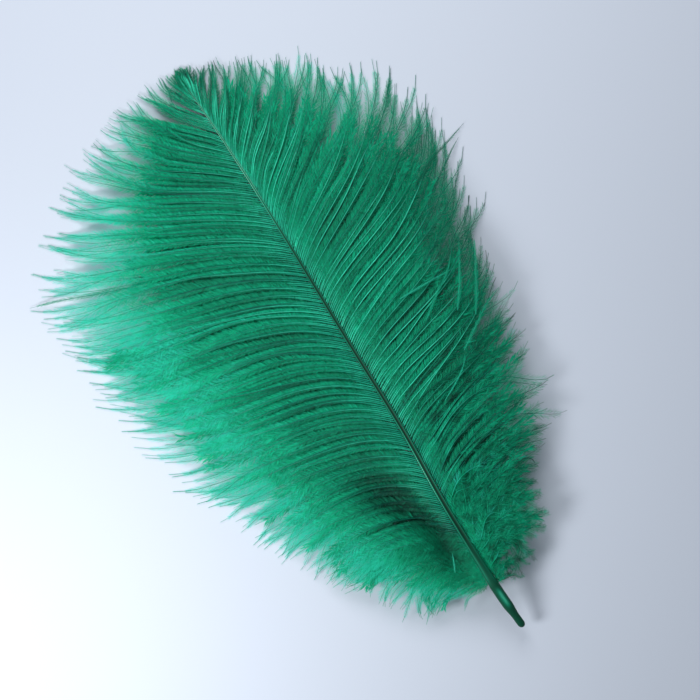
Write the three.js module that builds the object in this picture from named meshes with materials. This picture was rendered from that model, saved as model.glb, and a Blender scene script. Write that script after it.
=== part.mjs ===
// A dyed ostrich plume, 250 mm long, lying on its own barbs. Units are millimetres.
// +Y runs along the shaft from the end of the quill to the tip, +X across the vanes, +Z up,
// and the surface that the plume lies on is z = 0.
import * as THREE from 'three';

// ---------------------------------------------------------------- driving dimensions

const QUILL_END_RADIUS = 1.45;     // narrow end of the bare quill
const QUILL_RADIUS = 1.95;         // bare quill at its fullest
const QUILL_WIDENS_FROM = 5;       // how far up from its end the quill starts to widen
const QUILL_WIDENS_TO = 11;        // and where it is fullest
const QUILL_BLEND = 6;             // over which the quill narrows to the rachis
const QUILL_END_ROUNDING = 1.8;    // length of the blunt, rounded end
const RACHIS_RADIUS = 1.35;        // shaft where the first barbs leave it
const RACHIS_TIP_RADIUS = 0.28;
const FIRST_BARB = 20;             // where the bare quill ends
const GROOVE_DEPTH = 0.6;          // depth of the shaft's groove, as a share of its radius
const GROOVE_SHARPNESS = 8;        // the higher, the narrower the groove
const GROOVE_FROM = 26;            // where the groove starts
const GROOVE_TO = 46;              // and where it is fully deep

const ROOT_GAP = 0.3;              // air between the shaft and the barbs' solid
const ROOT_THICKNESS = 1.2;        // of the layer of barbs, at the shaft
const FULL_THICKNESS = 3.4;        // where the layer is fullest
const TIP_THICKNESS = 0.9;         // and at the barbs' tips
const FULLEST_BIAS = 0.7;          // below 1 the layer is fullest nearer to the shaft
const TUFT_DEPTH = 0.045;          // how far the notches between the tufts cut into the barbs' length
const DOWN_ENDS_AT = 3.0;          // guide barb where the down gives way to the vane
const DOWN_GAP = 0.06;             // gap between down and vane, in guide barbs

const SHAFT_SIDES = 12;
const SHAFT_STEPS = 48;
const END_STEPS = 5;               // rings on the quill's rounded end
const HALVINGS = 40;               // when a place on the centreline is looked for
const BARB_STEPS = 12;             // facets along a barb
const STEPS_PER_GUIDE = 4;         // rows of facets from one guide barb to the next

// The shaft's centreline: across, along, above the surface.
const SHAFT_LINE = [
  [0, 0, 6], [-0.9, 18, 11.4], [-0.9, 38, 14.6], [-0.6, 60, 17], [0.9, 90, 18.8],
  [1.1, 125, 19], [1.6, 162, 17.2], [1.8, 190, 13], [1.6, 212, 8.0], [1.0, 232, 3.8], [0.2, 244, 1.8],
];

// Guide barbs, from the quill to the tip. Each leaves the shaft at root, is bent by the near and
// far points and ends at tip, written as outwards from the midline, along, above the surface.
// A tip below the surface is one that the surface turns flat, so the barbs rest there.
const LEFT_BARBS = [
  { root: 21, near: [5, 21, 13], far: [10, 20.5, 9], tip: [14, 17, 5] },
  { root: 25, near: [11, 30, 13], far: [22, 29, 9], tip: [27, 19, 4] },
  { root: 31, near: [14, 39, 13], far: [29, 35, 10], tip: [38, 28, 4] },
  { root: 39, near: [17, 53, 14], far: [36, 50, 13], tip: [51, 46, 3] },
  { root: 50, near: [18, 67, 16], far: [41, 66, 14], tip: [58, 60, 1] },
  { root: 62, near: [20, 82, 19], far: [46, 79, 15], tip: [66, 74, -4] },
  { root: 76, near: [20, 97, 23], far: [50, 89, 16], tip: [74, 95, -6] },
  { root: 90, near: [24, 115, 26], far: [52, 99, 18], tip: [82, 117, -6] },
  { root: 105, near: [26, 133, 28], far: [54, 114, 19], tip: [88, 141, -6] },
  { root: 120, near: [27, 149, 29], far: [59, 130, 18], tip: [90, 158, -6] },
  { root: 138, near: [28, 166, 29], far: [62, 150, 17], tip: [91, 177, -6] },
  { root: 155, near: [29, 181, 27], far: [66, 176, 14], tip: [92, 198, -6] },
  { root: 172, near: [24, 196, 23], far: [57, 199, 11], tip: [77, 222, -5] },
  { root: 190, near: [18, 207, 17], far: [43, 214, 9], tip: [55, 236, -3] },
  { root: 208, near: [10, 220, 11], far: [25, 230, 5], tip: [31, 247, 0] },
  { root: 225, near: [5, 233, 5.2], far: [12, 239, 2.6], tip: [14, 250, 0.5] },
  { root: 237, near: [1.2, 242, 2.6], far: [1.6, 245.6, 1.4], tip: [1.3, 248.6, 0.6] },
  { root: 243, near: [0.5, 245, 1.9], far: [0.3, 247.7, 1.1], tip: [0.2, 250, 0.6] },
];
const RIGHT_BARBS = [
  { root: 20, near: [4, 21, 12], far: [7, 20, 9], tip: [9, 16, 6] },
  { root: 25, near: [8, 32, 13], far: [16, 31, 13], tip: [20, 24, 9] },
  { root: 32, near: [11, 41, 14], far: [22, 40, 14], tip: [30, 32, 10] },
  { root: 41, near: [9, 47, 15], far: [23, 53, 15], tip: [34, 46, 9] },
  { root: 51, near: [10, 58, 17], far: [30, 64, 16], tip: [47, 61, 7] },
  { root: 62, near: [11, 70, 19], far: [34, 76, 18], tip: [57, 76, 6] },
  { root: 74, near: [12, 83, 21], far: [38, 88, 20], tip: [58, 92, 5] },
  { root: 88, near: [14, 97, 23], far: [42, 99, 22], tip: [62, 108, 4] },
  { root: 103, near: [18, 113, 26], far: [50, 110, 21], tip: [64, 131, 1] },
  { root: 119, near: [17, 131, 28], far: [54, 127, 22], tip: [68, 156, -6] },
  { root: 136, near: [17, 149, 28], far: [56, 147, 19], tip: [72, 180, -6] },
  { root: 155, near: [16, 168, 26], far: [54, 172, 15], tip: [70, 203, -6] },
  { root: 174, near: [13, 188, 20], far: [41, 196, 12], tip: [52, 221, -5] },
  { root: 194, near: [9, 206, 15], far: [27, 212, 8], tip: [36, 233, -3] },
  { root: 212, near: [6, 221, 10], far: [15, 226, 4.5], tip: [20, 241.5, 0] },
  { root: 227, near: [3.6, 235, 4.6], far: [7.5, 239, 2.4], tip: [9.5, 246, 0.6] },
  { root: 238, near: [1.7, 242, 2.5], far: [2.9, 245.4, 1.4], tip: [3.4, 248, 0.6] },
  { root: 243, near: [0.5, 245, 1.9], far: [0.3, 247.7, 1.1], tip: [0.2, 250, 0.6] },
];

const SHAFT_COLOUR = 0x1f5a43;
const BARB_COLOUR = 0x12805c;
const DOWN_COLOUR = 0x17926a;
const SHAFT_ROUGHNESS = 0.35;      // satin horn
const BARB_ROUGHNESS = 0.8;        // soft and matt

// ---------------------------------------------------------------- small helpers

function smoothCurve(points) {
  const vectors = points.map((point) => new THREE.Vector3(...point));
  return new THREE.CatmullRomCurve3(vectors, false, 'catmullrom', 0.5);
}

// A closed body from rows of points that each run once round it, with a point at either end.
function loftGeometry(firstPole, rings, lastPole) {
  const sides = rings[0].length;
  const points = [firstPole, ...rings.flat(), lastPole];
  const index = [];
  const last = points.length - 1;
  for (let side = 0; side < sides; side += 1) {
    const next = (side + 1) % sides;
    index.push(0, 1 + next, 1 + side);
    for (let row = 0; row < rings.length - 1; row += 1) {
      const here = 1 + row * sides;
      const beyond = here + sides;
      index.push(here + side, here + next, beyond + next);
      index.push(here + side, beyond + next, beyond + side);
    }
    const final = 1 + (rings.length - 1) * sides;
    index.push(last, final + side, final + next);
  }
  return geometryFrom(points, index);
}

// A closed layer between two sheets of points, upper[row][column] and lower[row][column].
function layerGeometry(upper, lower) {
  const rows = upper.length;
  const columns = upper[0].length;
  const points = [...upper.flat(), ...lower.flat()];
  const under = rows * columns;
  const index = [];
  const quad = (a, b, c, d) => index.push(a, b, c, a, c, d);
  for (let row = 0; row < rows - 1; row += 1) {
    for (let column = 0; column < columns - 1; column += 1) {
      const a = row * columns + column;
      const b = a + 1;
      const c = b + columns;
      const d = a + columns;
      quad(a, b, c, d);
      quad(under + d, under + c, under + b, under + a);
    }
  }
  const rim = [];
  for (let column = 0; column < columns - 1; column += 1) rim.push(column);
  for (let row = 0; row < rows - 1; row += 1) rim.push(row * columns + columns - 1);
  for (let column = columns - 1; column > 0; column -= 1) rim.push((rows - 1) * columns + column);
  for (let row = rows - 1; row > 0; row -= 1) rim.push(row * columns);
  rim.forEach((here, place) => {
    const next = rim[(place + 1) % rim.length];
    quad(here, under + here, under + next, next);
  });
  return geometryFrom(points, index);
}

function signedVolume(points, index) {
  let sum = 0;
  for (let place = 0; place < index.length; place += 3) {
    const [a, b, c] = index.slice(place, place + 3).map((corner) => points[corner]);
    sum += a.dot(b.clone().cross(c));
  }
  return sum / 6;
}

// The faces are turned to point out, whichever way round the points were given.
function geometryFrom(points, index) {
  const outward = signedVolume(points, index) > 0 ? index : [...index].reverse();
  const geometry = new THREE.BufferGeometry();
  geometry.setFromPoints(points);
  geometry.setIndex(outward);
  geometry.computeVertexNormals();
  return geometry;
}

function namedMesh(name, geometry, color, roughness) {
  const material = new THREE.MeshStandardMaterial({ color, roughness, metalness: 0 });
  const mesh = new THREE.Mesh(geometry, material);
  mesh.name = name;
  return mesh;
}

// ---------------------------------------------------------------- shaft: quill and rachis

const shaftCurve = smoothCurve(SHAFT_LINE);

// Place on the centreline whose distance along the plume is y, found by halving.
function shaftPoint(y) {
  let low = 0;
  let high = 1;
  for (let turn = 0; turn < HALVINGS; turn += 1) {
    const middle = (low + high) / 2;
    if (shaftCurve.getPoint(middle).y < y) low = middle;
    else high = middle;
  }
  return shaftCurve.getPoint((low + high) / 2);
}

function shaftRadius(y) {
  if (y < QUILL_END_ROUNDING) {
    const share = 1 - y / QUILL_END_ROUNDING;
    return QUILL_END_RADIUS * Math.sqrt(1 - share * share);
  }
  if (y < FIRST_BARB) {
    const widened = THREE.MathUtils.smoothstep(y, QUILL_WIDENS_FROM, QUILL_WIDENS_TO);
    return THREE.MathUtils.lerp(QUILL_END_RADIUS, QUILL_RADIUS, widened);
  }
  const end = SHAFT_LINE[SHAFT_LINE.length - 1][1];
  const share = (y - FIRST_BARB) / (end - FIRST_BARB);
  const settled = THREE.MathUtils.lerp(RACHIS_RADIUS, RACHIS_TIP_RADIUS, share);
  return settled + (QUILL_RADIUS - RACHIS_RADIUS) * Math.exp(-(y - FIRST_BARB) / QUILL_BLEND);
}

// How fully the groove is cut: nothing on the quill, deepening over the first barbs.
function grooveShare(y) {
  return THREE.MathUtils.smoothstep(y, GROOVE_FROM, GROOVE_TO);
}

function shaftRing(y) {
  const centre = shaftPoint(y);
  const radius = shaftRadius(y);
  const ring = [];
  for (let side = 0; side < SHAFT_SIDES; side += 1) {
    const turn = (side / SHAFT_SIDES) * 2 * Math.PI;
    const across = Math.cos(turn) * radius;
    const facingUp = Math.max(0, Math.sin(turn)) ** GROOVE_SHARPNESS;
    const up = Math.sin(turn) * radius - facingUp * grooveShare(y) * GROOVE_DEPTH * radius;
    ring.push(new THREE.Vector3(centre.x + across, y, centre.z + up));
  }
  return ring;
}

function buildShaft() {
  const start = SHAFT_LINE[0][1];
  const end = SHAFT_LINE[SHAFT_LINE.length - 1][1];
  const rings = [];
  for (let step = 1; step <= END_STEPS; step += 1) {
    const swing = (step / END_STEPS) * (Math.PI / 2);
    rings.push(shaftRing(start + QUILL_END_ROUNDING * (1 - Math.cos(swing))));
  }
  for (let step = 1; step <= SHAFT_STEPS; step += 1) {
    const from = start + QUILL_END_ROUNDING;
    rings.push(shaftRing(from + ((end - from) * step) / SHAFT_STEPS));
  }
  const tip = shaftPoint(end);
  tip.y = end + RACHIS_TIP_RADIUS * 2;
  return namedMesh('shaft', loftGeometry(shaftPoint(start), rings, tip), SHAFT_COLOUR, SHAFT_ROUGHNESS);
}

// ---------------------------------------------------------------- barbs: vanes and down

// The barb at any place between the guides, as a curve from the shaft to its tip.
function barbFamily(guides, side) {
  const roots = smoothCurve(guides.map((guide) => {
    const centre = shaftPoint(guide.root);
    const outward = shaftRadius(guide.root) + ROOT_GAP;
    return [centre.x + side * outward, guide.root, centre.z];
  }));
  const bend = (key) => smoothCurve(guides.map(({ [key]: [out, along, up] }) => [side * out, along, up]));
  const [nears, fars, tips] = ['near', 'far', 'tip'].map(bend);
  const last = guides.length - 1;
  return (place) => {
    const t = place / last;
    return new THREE.CubicBezierCurve3(...[roots, nears, fars, tips].map((curve) => curve.getPoint(t)));
  };
}

// Barb tips gather in tufts: one tuft and one notch to each guide barb.
function tuftedLength(place) {
  return 1 - TUFT_DEPTH * (0.5 - 0.5 * Math.cos(place * 2 * Math.PI));
}

function layerThickness(along) {
  const swell = Math.sin(Math.PI * along ** FULLEST_BIAS);
  return THREE.MathUtils.lerp(ROOT_THICKNESS, TIP_THICKNESS, along)
    + (FULL_THICKNESS - ROOT_THICKNESS) * swell;
}

function buildLayer(name, barbAt, from, to, color) {
  const rows = Math.max(2, Math.round((to - from) * STEPS_PER_GUIDE));
  const upper = [];
  const lower = [];
  for (let row = 0; row <= rows; row += 1) {
    const place = from + ((to - from) * row) / rows;
    const barb = barbAt(place);
    const reach = tuftedLength(place);
    const over = [];
    const under = [];
    for (let step = 0; step <= BARB_STEPS; step += 1) {
      const share = step / BARB_STEPS;
      const point = barb.getPoint(share * reach);
      const half = layerThickness(share) / 2;
      over.push(new THREE.Vector3(point.x, point.y, Math.max(point.z + half, TIP_THICKNESS)));
      under.push(new THREE.Vector3(point.x, point.y, Math.max(point.z - half, 0)));
    }
    upper.push(over);
    lower.push(under);
  }
  return namedMesh(name, layerGeometry(upper, lower), color, BARB_ROUGHNESS);
}

function buildSide(name, guides, side) {
  const barbAt = barbFamily(guides, side);
  const down = buildLayer(`down_${name}`, barbAt, 0, DOWN_ENDS_AT - DOWN_GAP, DOWN_COLOUR);
  const vane = buildLayer(`vane_${name}`, barbAt, DOWN_ENDS_AT, guides.length - 1, BARB_COLOUR);
  return [vane, down];
}

// ---------------------------------------------------------------- the plume

const plume = new THREE.Group();
plume.name = 'ostrich_plume';
plume.add(buildShaft());
plume.add(...buildSide('left', LEFT_BARBS, -1));
plume.add(...buildSide('right', RIGHT_BARBS, 1));

// The origin is on the surface, under the middle of the plume's bounding box.
const box = new THREE.Box3().setFromObject(plume);
const middle = box.getCenter(new THREE.Vector3());
plume.position.set(-middle.x, -middle.y, -box.min.z);

export default plume;
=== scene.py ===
import math

import bpy
import numpy as np
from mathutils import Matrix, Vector


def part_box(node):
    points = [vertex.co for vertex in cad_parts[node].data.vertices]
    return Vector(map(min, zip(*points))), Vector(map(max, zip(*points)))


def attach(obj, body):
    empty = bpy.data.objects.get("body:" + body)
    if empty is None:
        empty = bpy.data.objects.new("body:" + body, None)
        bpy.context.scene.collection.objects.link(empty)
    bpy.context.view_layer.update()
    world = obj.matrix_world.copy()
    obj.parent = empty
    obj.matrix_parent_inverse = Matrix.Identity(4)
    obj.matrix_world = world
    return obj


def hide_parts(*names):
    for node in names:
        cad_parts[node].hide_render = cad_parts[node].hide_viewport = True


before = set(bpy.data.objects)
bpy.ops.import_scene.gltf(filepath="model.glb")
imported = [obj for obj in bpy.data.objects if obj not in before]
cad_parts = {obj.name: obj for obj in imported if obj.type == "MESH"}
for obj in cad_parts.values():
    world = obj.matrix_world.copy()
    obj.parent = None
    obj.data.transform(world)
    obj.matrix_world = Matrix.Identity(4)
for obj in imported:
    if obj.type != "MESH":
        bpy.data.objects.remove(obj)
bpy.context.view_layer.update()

# A dyed ostrich plume lies on its barbs. Shapes are worked out in millimetres, with x to the right
# of the midline, y from the end of the quill to the tip and z above the surface, as the CAD part
# is drawn, and go to the row frame in metres when a mesh is made.

MM = 0.001
SEED = 4107

# ---- shape, as in the CAD part

BROADEST_LEFT = 92.0        # how far the longest left barb reaches from the midline
QUILL_END_RADIUS = 1.45
QUILL_RADIUS = 1.95
QUILL_WIDENS = (5.0, 11.0)  # where the bare quill widens from its narrow end
QUILL_END_ROUNDING = 1.8
RACHIS_RADIUS = 1.35
RACHIS_TIP_RADIUS = 0.28
QUILL_BLEND = 6.0           # over which the quill narrows to the rachis
FIRST_BARB = 20.0
GROOVE = (26.0, 46.0)       # where the shaft's groove starts, and where it is fully deep

# The shaft's centreline: across, along, above the surface.
SHAFT_LINE = [
    (0, 0, 6), (-0.9, 18, 11.4), (-0.9, 38, 14.6), (-0.6, 60, 17), (0.9, 90, 18.8),
    (1.1, 125, 19), (1.6, 162, 17.2), (1.8, 190, 13), (1.6, 212, 8.0), (1.0, 232, 3.8), (0.2, 244, 1.8),
]

# Guide barbs: where each leaves the shaft, the near and far points that bend it, and its tip,
# with x outwards on either side. Heights below the surface are turned flat along it.
LEFT_GUIDES = [
    (21, (5, 21, 13), (10, 20.5, 9), (14, 17, 5)),
    (25, (11, 30, 13), (22, 29, 9), (27, 19, 4)),
    (31, (14, 39, 13), (29, 35, 10), (38, 28, 4)),
    (39, (17, 53, 14), (36, 50, 13), (51, 46, 3)),
    (50, (18, 67, 16), (41, 66, 14), (58, 60, 1)),
    (62, (20, 82, 19), (46, 79, 15), (66, 74, -4)),
    (76, (20, 97, 23), (50, 89, 16), (74, 95, -6)),
    (90, (24, 115, 26), (52, 99, 18), (82, 117, -6)),
    (105, (26, 133, 28), (54, 114, 19), (88, 141, -6)),
    (120, (27, 149, 29), (59, 130, 18), (90, 158, -6)),
    (138, (28, 166, 29), (62, 150, 17), (91, 177, -6)),
    (155, (29, 181, 27), (66, 176, 14), (92, 198, -6)),
    (172, (24, 196, 23), (57, 199, 11), (77, 222, -5)),
    (190, (18, 207, 17), (43, 214, 9), (55, 236, -3)),
    (208, (10, 220, 11), (25, 230, 5), (31, 247, 0)),
    (225, (5, 233, 5.2), (12, 239, 2.6), (14, 250, 0.5)),
    (237, (1.2, 242, 2.6), (1.6, 245.6, 1.4), (1.3, 248.6, 0.6)),
    (243, (0.5, 245, 1.9), (0.3, 247.7, 1.1), (0.2, 250, 0.6)),
]
RIGHT_GUIDES = [
    (20, (4, 21, 12), (7, 20, 9), (9, 16, 6)),
    (25, (8, 32, 13), (16, 31, 13), (20, 24, 9)),
    (32, (11, 41, 14), (22, 40, 14), (30, 32, 10)),
    (41, (9, 47, 15), (23, 53, 15), (34, 46, 9)),
    (51, (10, 58, 17), (30, 64, 16), (47, 61, 7)),
    (62, (11, 70, 19), (34, 76, 18), (57, 76, 6)),
    (74, (12, 83, 21), (38, 88, 20), (58, 92, 5)),
    (88, (14, 97, 23), (42, 99, 22), (62, 108, 4)),
    (103, (18, 113, 26), (50, 110, 21), (64, 131, 1)),
    (119, (17, 131, 28), (54, 127, 22), (68, 156, -6)),
    (136, (17, 149, 28), (56, 147, 19), (72, 180, -6)),
    (155, (16, 168, 26), (54, 172, 15), (70, 203, -6)),
    (174, (13, 188, 20), (41, 196, 12), (52, 221, -5)),
    (194, (9, 206, 15), (27, 212, 8), (36, 233, -3)),
    (212, (6, 221, 10), (15, 226, 4.5), (20, 241.5, 0)),
    (227, (3.6, 235, 4.6), (7.5, 239, 2.4), (9.5, 246, 0.6)),
    (238, (1.7, 242, 2.5), (2.9, 245.4, 1.4), (3.4, 248, 0.6)),
    (243, (0.5, 245, 1.9), (0.3, 247.7, 1.1), (0.2, 250, 0.6)),
]

# Loose barbs that lie across the others or reach out alone: how light, and points along them.
LOOSE_RIGHT = (
    (0.8, ((26, 130, 23.5), (34, 129.9, 22), (42, 129.6, 19.5), (49.5, 129.2, 16))),
    (0.62, ((42, 115, 20), (48, 123, 17.5), (53, 131, 14), (58, 139, 9.5))),
    (0.6, ((47, 110, 18), (53, 119, 15), (59, 129, 10), (63, 136, 5))),
    (0.75, ((20, 89, 22), (26, 92, 21.8), (31, 95, 21.5), (35, 98.5, 21))),
    (0.6, ((30, 118, 23), (38, 124, 21), (46, 129, 18), (53, 136, 13))),
    (0.6, ((36, 101, 21), (44, 106, 19), (52, 111, 16), (60, 114, 11))),
    (0.2, ((52, 162, 13), (63, 168, 7), (73, 171, 3), (82.5, 174, 1))),
    (0.2, ((58, 158, 10), (66, 163, 5), (72, 167, 2.5), (78, 170.5, 1))),
    (0.05, ((30, 54, 14.5), (34, 54.4, 13.5), (36.2, 52.6, 12.5), (36.4, 50, 11.5))),
)
LOOSE_LEFT = (
    (0.42, ((-56, 187, 13), (-70, 192.5, 8), (-84, 198.4, 3), (-95, 202, 0.8))),
    (0.95, ((-10.9, 31.8, 13), (-9.8, 34.4, 13.6), (-8.8, 36.6, 14.2), (-8, 38.6, 14.6))),
    (0.3, ((-7.4, 239, 5), (-6.6, 242, 5), (-5.4, 243.6, 4.5), (-3.4, 244, 4))),
)

# ---- barbs

BARB_STEPS = 24
LOWEST = 0.35   # of a barb's centreline, above the surface
SETTLING = 0.8  # how softly the barbs turn flat along it


class Barbing:
    """How the barbs of one stretch grow, lie together in bands and carry barbules."""

    spacing = 0.95         # between the roots of two barbs
    band = (1.7, 4.3)      # width at the root of a band of barbs that lie together
    strength = (0.3, 1.3)  # of a band's ridge
    crest = 0.28           # where a band's crest is, from its lower border to its upper
    gather = 0.6           # how far its barbs close up on the crest
    closing = (0.02, 0.2)  # the shares of their length between which they do
    opening = (0.45, 0.8)  # and between which they open out again
    merging = 0.3          # share of the bands that narrow to nothing
    wander = 0.4           # of the border between two bands
    ridge = 1.5            # height of a crest over the dip beside it
    # Shares of a barb's length where the bands start to rise, stand, start to sink, lie flat.
    standing = (0.03, 0.14, 0.45, 0.8)
    sunk = 0.0             # depth of the whole layer
    layer = 0.3            # unevenness of the barbs' height
    leaders = 0.45         # share of the barbs that reach the full length
    shorter = (0.0, 0.12)  # how much shorter the others are
    uneven = 0.02          # of every barb's length
    tuft_start = 0.6       # chance that a barb's tip starts a new tuft
    tuft = 0.3             # how far a tuft's tips come together
    tuft_drift = 0.8       # sideways wander of a tuft
    locks = ()             # roots of the separate tufts round the feather's tip
    lock_thin = 0.32       # how much shorter the barbules are in their outer part
    missing = ()           # stretches that have lost their barbs
    drift = 1.3            # sideways wander of a single barb's end
    wave = 0.35            # height of its waves
    curl = 3.2             # of a barb's last stretch
    stray = 0.05           # share of the barbs that lie across the others
    # Pairs of lists are shares of a barb's length, and the values there.
    radius = ([0, 0.06, 0.14, 0.5, 0.85, 1], [0.3, 0.28, 0.12, 0.12, 0.14, 0.07])
    crest_radius = ([0, 0.06, 0.14, 0.5, 0.85, 1], [0.3, 0.28, 0.24, 0.2, 0.15, 0.07])
    shade = ([0, 0.09, 0.2, 0.7, 1], [0.6, 0.62, 0.3, 0.2, 0.2])
    # Crest barbs' own shafts are lighter than the others: a painted highlight.
    crest_painted_highlight = ([0, 0.08, 0.3, 0.5, 1], [0.6, 0.7, 0.5, 0.2, 0.18])
    barbule_spacing = 0.2
    barbule_places = ([0, 0.66, 1], [0, 0.55, 0.95])
    barbule_length = 4.6
    barbule_width = ([0, 0.5, 0.8, 1], [0.2, 0.18, 0.1, 0.07])
    # The barbules' length along a barb, as a share of barbule_length.
    envelope = ([0, 0.05, 0.09, 0.14, 0.7, 0.82, 0.92, 1],
                [0.12, 0.18, 0.5, 1, 1, 0.85, 0.42, 0.1])
    confined = True        # barbules end at their band's borders
    angle = ([0, 0.2, 0.6, 0.9, 1], [54, 52, 48, 40, 24])  # degrees, to the barb
    droop = (14, 38)       # degrees, towards the upper border and towards the lower one
    rise = ([0, 0.5, 0.8, 1], [9, 12, 22, 24])  # degrees that some stand up and others hang
    tone = 0.42            # of the dye, from dark to light
    band_tone = 0.05       # how much it differs from band to band
    crest_painted_light = 0.12      # painted light: how much lighter a crest is
    dip_painted_shade = 0.16        # and painted shade: how much darker the dip below it is
    mottle = (0.05, 14.0)  # and from place to place, over this distance
    # Painted light: how much lighter the barbs' outer part is, for places along the shaft. It is large
    # on the left vane, which the lamp lights and lights through, and small on the right vane, which lies
    # in shade.
    outer_painted_light = ([0, 40, 60, 110, 170, 200, 225, 250],
                  [0.68, 0.68, 0.54, 0.6, 0.58, 0.4, 0.14, -0.08])
    outer_from = (0.32, 0.86)  # the shares of a barb's length between which it gets so
    root_painted_light = 0.0            # painted light: how much lighter the barbs are beside the shaft

    def __init__(self, **settings):
        vars(self).update(settings)


# All random choices come from this, in the order in which the pieces are made.
rng = np.random.default_rng(SEED)

# Where the drawing's origin is in the row frame.
ORIGIN = np.array([
    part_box("vane_left")[0].x / MM + BROADEST_LEFT,
    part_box("shaft")[0].y / MM,
    0.0,
])


def smooth_curve(points, place):
    """Points on the smooth curve through the given ones. place counts them from 0."""
    points = np.asarray(points, float)
    padded = np.vstack([2 * points[0] - points[1], points, 2 * points[-1] - points[-2]])
    start = np.clip(np.floor(place).astype(int), 0, len(points) - 2)
    share = (place - start)[..., None]
    before, a, b, after = (padded[start + k] for k in range(4))
    leaving = (b - before) / 2
    arriving = (after - a) / 2
    cubic = 2 * a - 2 * b + leaving + arriving
    square = -3 * a + 3 * b - 2 * leaving - arriving
    return cubic * share**3 + square * share**2 + leaving * share + a


def smoothstep(x, low, high):
    share = np.clip((x - low) / (high - low), 0.0, 1.0)
    return share * share * (3 - 2 * share)


def unit(vectors):
    return vectors / np.maximum(np.linalg.norm(vectors, axis=-1, keepdims=True), 1e-9)


SHAFT_SAMPLES = smooth_curve(SHAFT_LINE, np.linspace(0, len(SHAFT_LINE) - 1, 600))
SHAFT_END = SHAFT_LINE[-1][1]


def shaft_centre(y):
    x, z = (np.interp(y, SHAFT_SAMPLES[:, 1], SHAFT_SAMPLES[:, k]) for k in (0, 2))
    return np.stack([x, np.asarray(y, float), z], -1)


def shaft_radius(y):
    y = np.asarray(y, float)
    end_share = np.clip(1 - y / QUILL_END_ROUNDING, 0, 1)
    rounded = QUILL_END_RADIUS * np.sqrt(1 - end_share**2)
    quill = QUILL_END_RADIUS + (QUILL_RADIUS - QUILL_END_RADIUS) * smoothstep(y, *QUILL_WIDENS)
    share = (y - FIRST_BARB) / (SHAFT_END - FIRST_BARB)
    settled = RACHIS_RADIUS + (RACHIS_TIP_RADIUS - RACHIS_RADIUS) * share
    narrowing = np.exp(-np.maximum(y - FIRST_BARB, 0) / QUILL_BLEND)
    rachis = settled + (QUILL_RADIUS - RACHIS_RADIUS) * narrowing
    return np.where(y < QUILL_END_ROUNDING, rounded, np.where(y < FIRST_BARB, quill, rachis))


class Side:
    """One side's barbs, as a smooth family between its guide barbs."""

    def __init__(self, name, guides, sign):
        self.name = name
        self.sign = sign
        root_y = np.array([guide[0] for guide in guides], float)
        root = shaft_centre(root_y)
        root[:, 0] += sign * shaft_radius(root_y)
        flip = (sign, 1.0, 1.0)
        self.controls = [root] + [np.array([g[k] for g in guides], float) * flip for k in (1, 2, 3)]
        self.samples = np.linspace(0, len(guides) - 1.0, 800)
        self.sample_y = smooth_curve(root, self.samples)[:, 1]

    def point(self, root_y, share):
        """The point a share of the way along the barb that leaves the shaft at root_y."""
        place = np.interp(root_y, self.sample_y, self.samples)
        root, near, far, tip = (smooth_curve(c, place) for c in self.controls)
        s = share[..., None]
        return root * (1 - s) ** 3 + near * 3 * s * (1 - s) ** 2 + far * 3 * s**2 * (1 - s) + tip * s**3


LEFT = Side("left", LEFT_GUIDES, -1)
RIGHT = Side("right", RIGHT_GUIDES, 1)


def rest_on_surface(points):
    """Points below the surface are turned flat along it."""
    z = points[..., 2] - LOWEST
    points[..., 2] = LOWEST + 0.5 * (z + np.sqrt(z * z + SETTLING))
    return points


# Left of the lowest part of the rachis the barbs dip into a hollow, which leans outwards.
HOLLOW_DEPTH = 7.5
HOLLOW_MIDDLE = (-6.2, 57.0)
HOLLOW_HALF_WIDTH = 5.2
HOLLOW_HALF_LENGTH = 25.0
HOLLOW_LEANS_FROM = 45.0  # its middle moves outwards and it widens beyond this
HOLLOW_LEAN = 0.44
HOLLOW_WIDENING = 0.11
HOLLOW_FLATTENS = 0.7     # share of a band's height that is lost in the hollow
HOLLOW_PAINTED_SHADE = 0.28       # painted shade: how much darker the tone is in it
HOLLOW_LOW_PAINTED_SHADE = 0.14   # and how much more painted shade there is in its lower end
HOLLOW_LOW_END = (45, 58)
HOLLOW_PAINTED_SHADE_BREADTH = 1.1


def hollow(points, breadth=1.0):
    """How far in the hollow the points are: 1 in its middle, 0 outside."""
    x, y = points[..., 0], points[..., 1]
    beyond = np.maximum(y - HOLLOW_LEANS_FROM, 0)
    middle = HOLLOW_MIDDLE[0] - HOLLOW_LEAN * beyond
    width = (HOLLOW_HALF_WIDTH + HOLLOW_WIDENING * beyond) * breadth
    return np.exp(-((x - middle) / width) ** 2 - ((y - HOLLOW_MIDDLE[1]) / HOLLOW_HALF_LENGTH) ** 4)


BANDS_NARROW = ([140, 220], [1, 0.55])  # towards the feather's tip
# Some bands merge with the next one: how far they close, and where along the barbs.
MERGED = (0.5, 0.9)
MERGES_FROM = (0.1, 0.45)
MERGES_OVER = 0.3
MERGED_UNTIL = (0.6, 0.9)


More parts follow.
